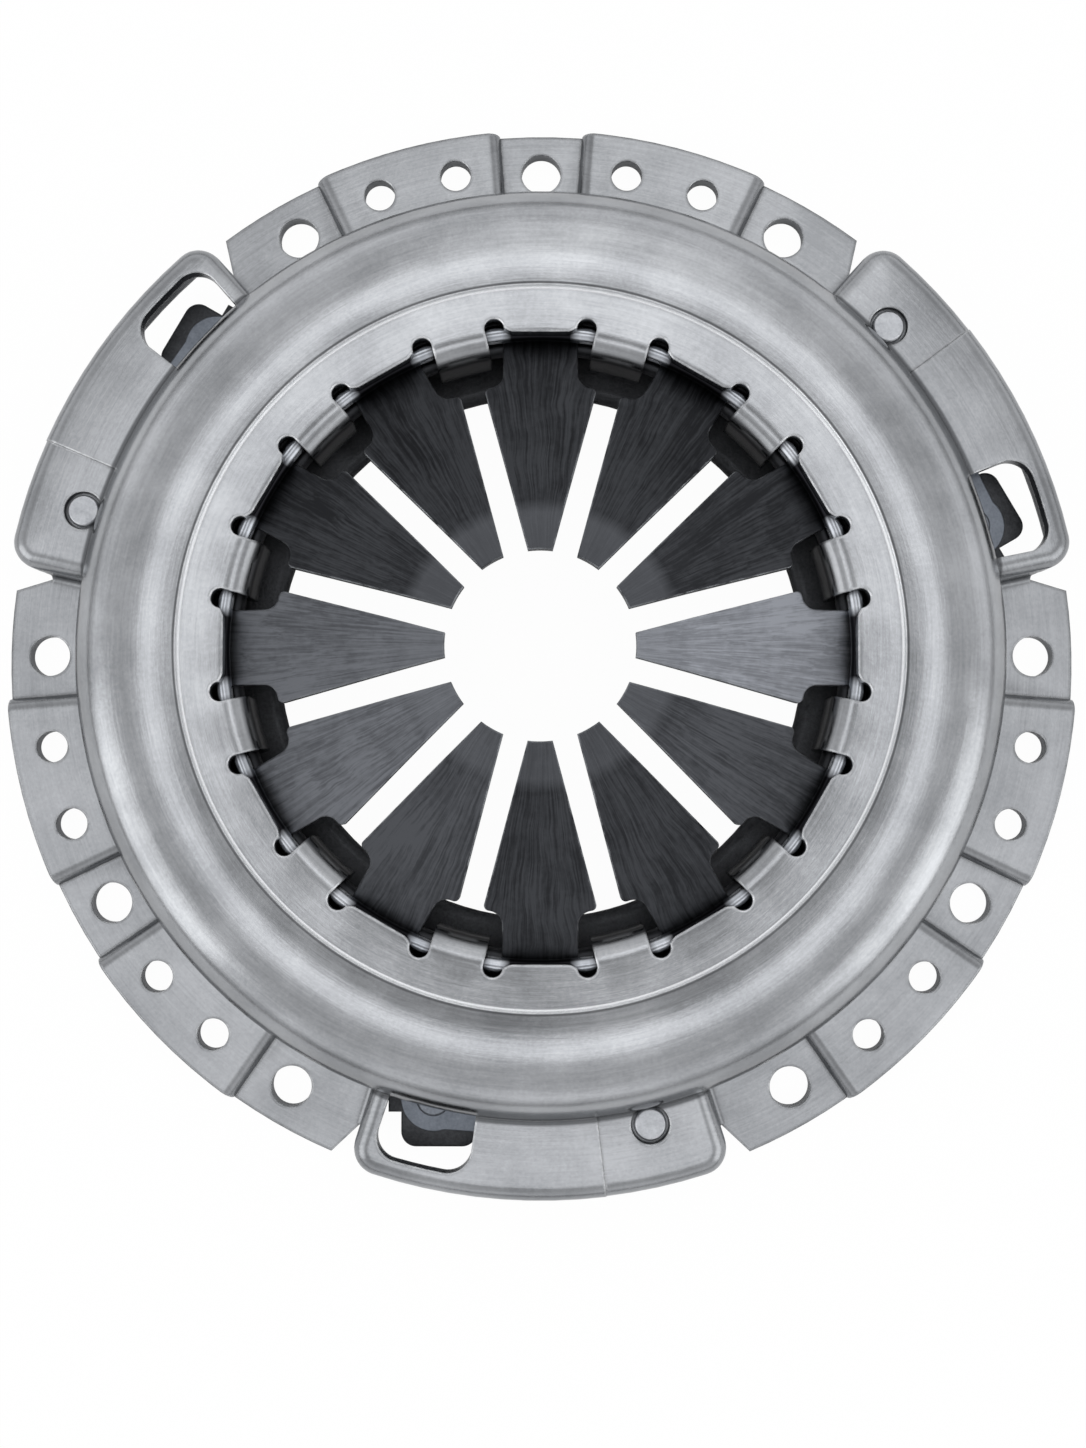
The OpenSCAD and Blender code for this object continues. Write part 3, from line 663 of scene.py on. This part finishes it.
@dataclass
class Studio:
    """Floor, soft lamps and a plain sky."""

    floor_size: float = 6.0
    floor_tone: tuple = (0.86, 0.86, 0.86, 1.0)
    floor_glow: float = 0.97
    sky_blue: float = 1.015
    sky: tuple = (
        (0.0, 0.25), (0.10, 0.55), (0.25, 1.0), (0.45, 1.05), (0.62, 0.80), (0.80, 0.72), (0.875, 0.80),
        (0.92, 1.75), (0.965, 1.60), (0.985, 0.55), (1.0, 0.35))
    lamps: tuple = (
        ("key_lamp", (-0.90, -0.33, 0.42), 0.7, 1.4),
        ("fill_lamp", (0.86, -0.40, 0.42), 0.7, 1.2),
        ("top_lamp", (0.10, 0.75, 0.9), 0.6, 0.6),
    )

    def build(self) -> None:
        """Adds the floor, the lamps and the sky, and sets the view transform."""
        self.floor()
        for name, place, size, power in self.lamps:
            self.lamp(name, place, size, power)
        self.world()
        bpy.context.scene.view_settings.view_transform = "Standard"

    def floor(self) -> None:
        """Adds the pale floor, which is white to the eye and keeps a soft shadow."""
        deselect()
        bpy.ops.mesh.primitive_plane_add(size=self.floor_size, location=(0.0, 0.0, 0.0))
        plane = bpy.context.object
        plane.name = "studio_floor"
        material = bpy.data.materials.new("pale_floor")
        material.use_nodes = True
        tree = material.node_tree
        tree.nodes.clear()
        matte = tree.nodes.new("ShaderNodeBsdfDiffuse")
        matte.inputs["Color"].default_value = self.floor_tone
        glow = tree.nodes.new("ShaderNodeEmission")
        glow.inputs["Color"].default_value = WHITE
        glow.inputs["Strength"].default_value = 1.0
        path = tree.nodes.new("ShaderNodeLightPath")
        share = tree.nodes.new("ShaderNodeMath")
        share.operation = "MULTIPLY"
        share.inputs[1].default_value = self.floor_glow
        tree.links.new(path.outputs["Is Camera Ray"], share.inputs[0])
        mixed = tree.nodes.new("ShaderNodeMixShader")
        tree.links.new(share.outputs[0], mixed.inputs["Fac"])
        tree.links.new(matte.outputs[0], mixed.inputs[1])
        tree.links.new(glow.outputs[0], mixed.inputs[2])
        output = tree.nodes.new("ShaderNodeOutputMaterial")
        tree.links.new(mixed.outputs[0], output.inputs["Surface"])
        plane.data.materials.append(material)

    def lamp(self, name: str, place: tuple, size: float, power: float) -> None:
        """Adds one soft square lamp that points at the object.

        Args:
            name: the lamp's name.
            place: where it hangs, in metres.
            size: its side.
            power: its power in watts.
        """
        data = bpy.data.lights.new(name, "AREA")
        data.shape = "SQUARE"
        data.size = size
        data.energy = power
        lamp = bpy.data.objects.new(name, data)
        lamp.location = place
        lamp.rotation_euler = (-Vector(place)).to_track_quat("-Z", "Y").to_euler()
        bpy.context.scene.collection.objects.link(lamp)

    def world(self) -> None:
        """Adds a grey sky, brighter in a ring overhead, that looks plain white to the camera."""
        world = bpy.data.worlds.new("studio_sky")
        bpy.context.scene.world = world
        world.use_nodes = True
        tree = world.node_tree
        tree.nodes.clear()
        way = tree.nodes.new("ShaderNodeTexCoord")
        parts = tree.nodes.new("ShaderNodeSeparateXYZ")
        tree.links.new(way.outputs["Generated"], parts.inputs[0])
        ramp = tree.nodes.new("ShaderNodeValToRGB")
        ramp.color_ramp.interpolation = "LINEAR"
        stops = ramp.color_ramp.elements
        while len(stops) < len(self.sky):
            stops.new(1.0)
        for stop, (place, level) in zip(stops, self.sky):
            stop.position = place
            stop.color = (level, level, level * self.sky_blue, 1.0)
        tree.links.new(parts.outputs["Z"], ramp.inputs[0])
        back = tree.nodes.new("ShaderNodeBackground")
        back.inputs["Strength"].default_value = 1.0
        tree.links.new(ramp.outputs["Color"], back.inputs["Color"])
        seen = tree.nodes.new("ShaderNodeBackground")
        seen.inputs["Color"].default_value = WHITE
        seen.inputs["Strength"].default_value = 1.0
        path = tree.nodes.new("ShaderNodeLightPath")
        mixed = tree.nodes.new("ShaderNodeMixShader")
        tree.links.new(path.outputs["Is Camera Ray"], mixed.inputs["Fac"])
        tree.links.new(back.outputs[0], mixed.inputs[1])
        tree.links.new(seen.outputs[0], mixed.inputs[2])
        output = tree.nodes.new("ShaderNodeOutputWorld")
        tree.links.new(mixed.outputs[0], output.inputs["Surface"])


@dataclass
class ClutchPlate:
    """The whole assembly, in the order in which it is put together."""

    parts: list = field(default_factory=lambda: [
        FrictionRing(), DiaphragmSpring(), Fulcrum(), CoverShell(), StrapPacks(), Rivets()])

    def build(self) -> None:
        """Builds each part and reports its pieces."""
        for part in self.parts:
            for piece in part.build():
                LOG.info("%s: %s, %d faces", type(part).__name__, piece.name, len(piece.data.polygons))


def main() -> None:
    """Builds the scene."""
    logging.basicConfig(level=logging.INFO, format="%(name)s: %(message)s")
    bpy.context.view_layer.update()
    Camera().build()
    Studio().build()
    ClutchPlate().build()


if __name__ == "__main__":
    main()
